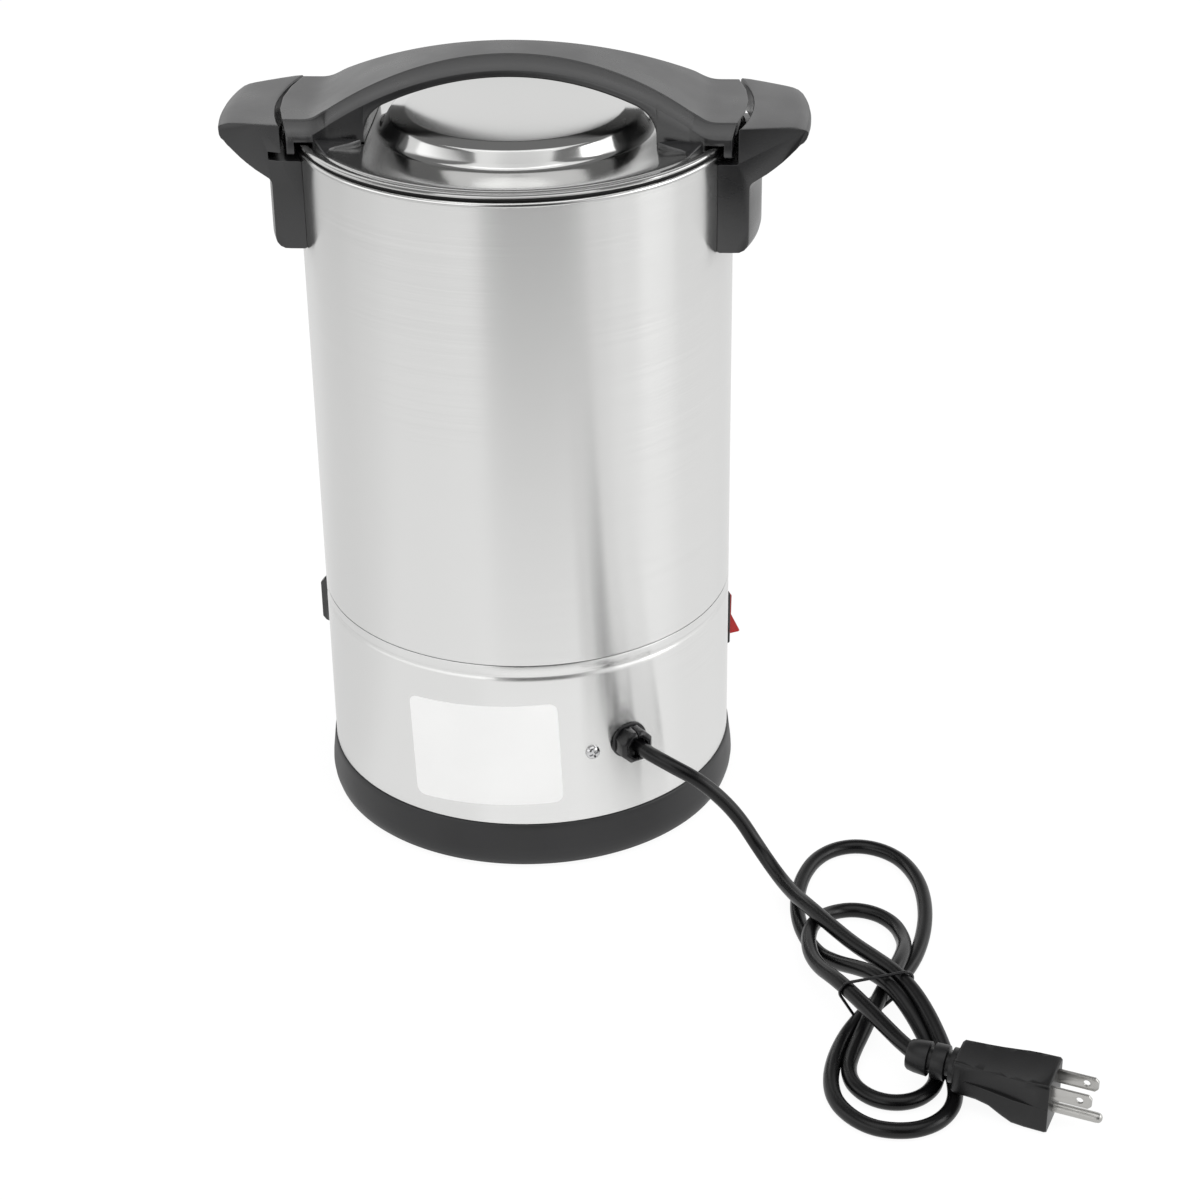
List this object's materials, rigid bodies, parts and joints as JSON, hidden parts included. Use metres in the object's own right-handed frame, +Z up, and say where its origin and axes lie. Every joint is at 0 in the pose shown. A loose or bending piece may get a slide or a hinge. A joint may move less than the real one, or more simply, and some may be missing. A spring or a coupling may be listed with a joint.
{
  "type": "candle_wax_melter",
  "caption": "Electric candle wax melter: brushed steel double-walled pot with twist-lock lid, arched black lid handle, side handles, front tap and a coiled mains lead",
  "frame": {"origin": "on the pot's vertical axis, in the plane that the four rubber feet stand on", "axes": "+Z up; the tap points towards -Y and the lead leaves the rear towards +Y; the side handles lie along X"},
  "size_m": [0.4175, 0.471, 0.3966],
  "materials": {
    "casing_steel": "satin, fine lines round the body",
    "lid_steel": "brighter satin",
    "sheet_steel": "plain mill finish",
    "black_moulding": "fine-grained satin",
    "base_moulding": "fine-grained satin",
    "black_gloss": "semi-gloss",
    "red_rocker": "gloss",
    "lead_rubber": "satin",
    "plug_plastic": "matt",
    "foot_rubber": "matt",
    "seal_rubber": "matt silicone",
    "plated_metal": "bright plating",
    "pin_metal": "nickel-plated brass",
    "zinc_steel": "zinc-plated",
    "cast_aluminium": "as cast",
    "glass_wool": "matt fibre",
    "ceramic_white": "unglazed",
    "label_film": "satin film"
  },
  "bodies": {
    "pot_and_base": {"base_ring": "base_moulding", "bottom_cover": "sheet_steel", "rubber_feet": "foot_rubber", "bottom_screws": "zinc_steel", "lower_housing": "casing_steel", "joint_ring": "sheet_steel", "upper_jacket": "casing_steel", "inner_pot": "casing_steel", "pot_floor": "casing_steel", "insulation_blanket": "glass_wool", "heater_plate": "cast_aluminium", "heating_element": "zinc_steel", "clamp_nuts": "zinc_steel", "thermal_cutout": "ceramic_white", "heat_shield": "sheet_steel", "thermostat": "ceramic_white", "switch_housing": "black_gloss", "terminal_block": "ceramic_white", "rear_screw": "plated_metal", "rating_label": "label_film", "cord_gland": "black_gloss", "side_handle_right": "black_moulding", "side_handle_left": "black_moulding", "side_handle_plates": "sheet_steel", "side_handle_screws": "zinc_steel", "tap_body": "plated_metal", "tap_outer_washer": "seal_rubber", "tap_inner_washer": "seal_rubber", "tap_lock_nut": "plated_metal", "power_cord": "lead_rubber", "cord_hank": "lead_rubber", "cord_tie": "black_gloss", "plug_body": "plug_plastic", "plug_blades": "pin_metal", "plug_ground_pin": "pin_metal", "cord_tail": "lead_rubber"},
    "lid_seal": {"lid_gasket": "seal_rubber"},
    "lid": {"lid_cover": "lid_steel", "lid_inner_ring": "lid_steel", "lid_handle": "black_moulding", "lid_handle_screws": "zinc_steel"},
    "tap_cock": {"tap_plug": "plated_metal", "tap_retainer": "plated_metal", "tap_lever": "black_moulding", "tap_lever_screw": "plated_metal"},
    "knob": {"temperature_knob": "black_moulding", "thermostat_shaft": "zinc_steel"},
    "rocker": {"switch_rocker": "red_rocker"}
  },
  "joints": [
    {"name": "lid_lift", "type": "slide", "parent": "pot_and_base", "child": "lid_seal", "axis": [0, 0, 1], "range_m": [0, 0.12]},
    {"name": "lid_turn", "type": "hinge", "parent": "lid_seal", "child": "lid", "pos_m": [0, 0, 0.36], "axis": [0, 0, 1], "range_deg": [0, 30]},
    {"name": "tap_turn", "type": "hinge", "parent": "pot_and_base", "child": "tap_cock", "pos_m": [0, -0.132, 0.143], "axis": [0, 0, 1], "range_deg": [0, 90]},
    {"name": "knob_turn", "type": "hinge", "parent": "pot_and_base", "child": "knob", "pos_m": [0.09867, -0.03591, 0.075], "axis": [0.9397, -0.342, 0], "range_deg": [0, 270]},
    {"name": "rocker_tilt", "type": "hinge", "parent": "pot_and_base", "child": "rocker", "pos_m": [-0.10036, -0.03653, 0.074], "axis": [0.342, -0.9397, 0], "range_deg": [0, 24]}
  ]
}
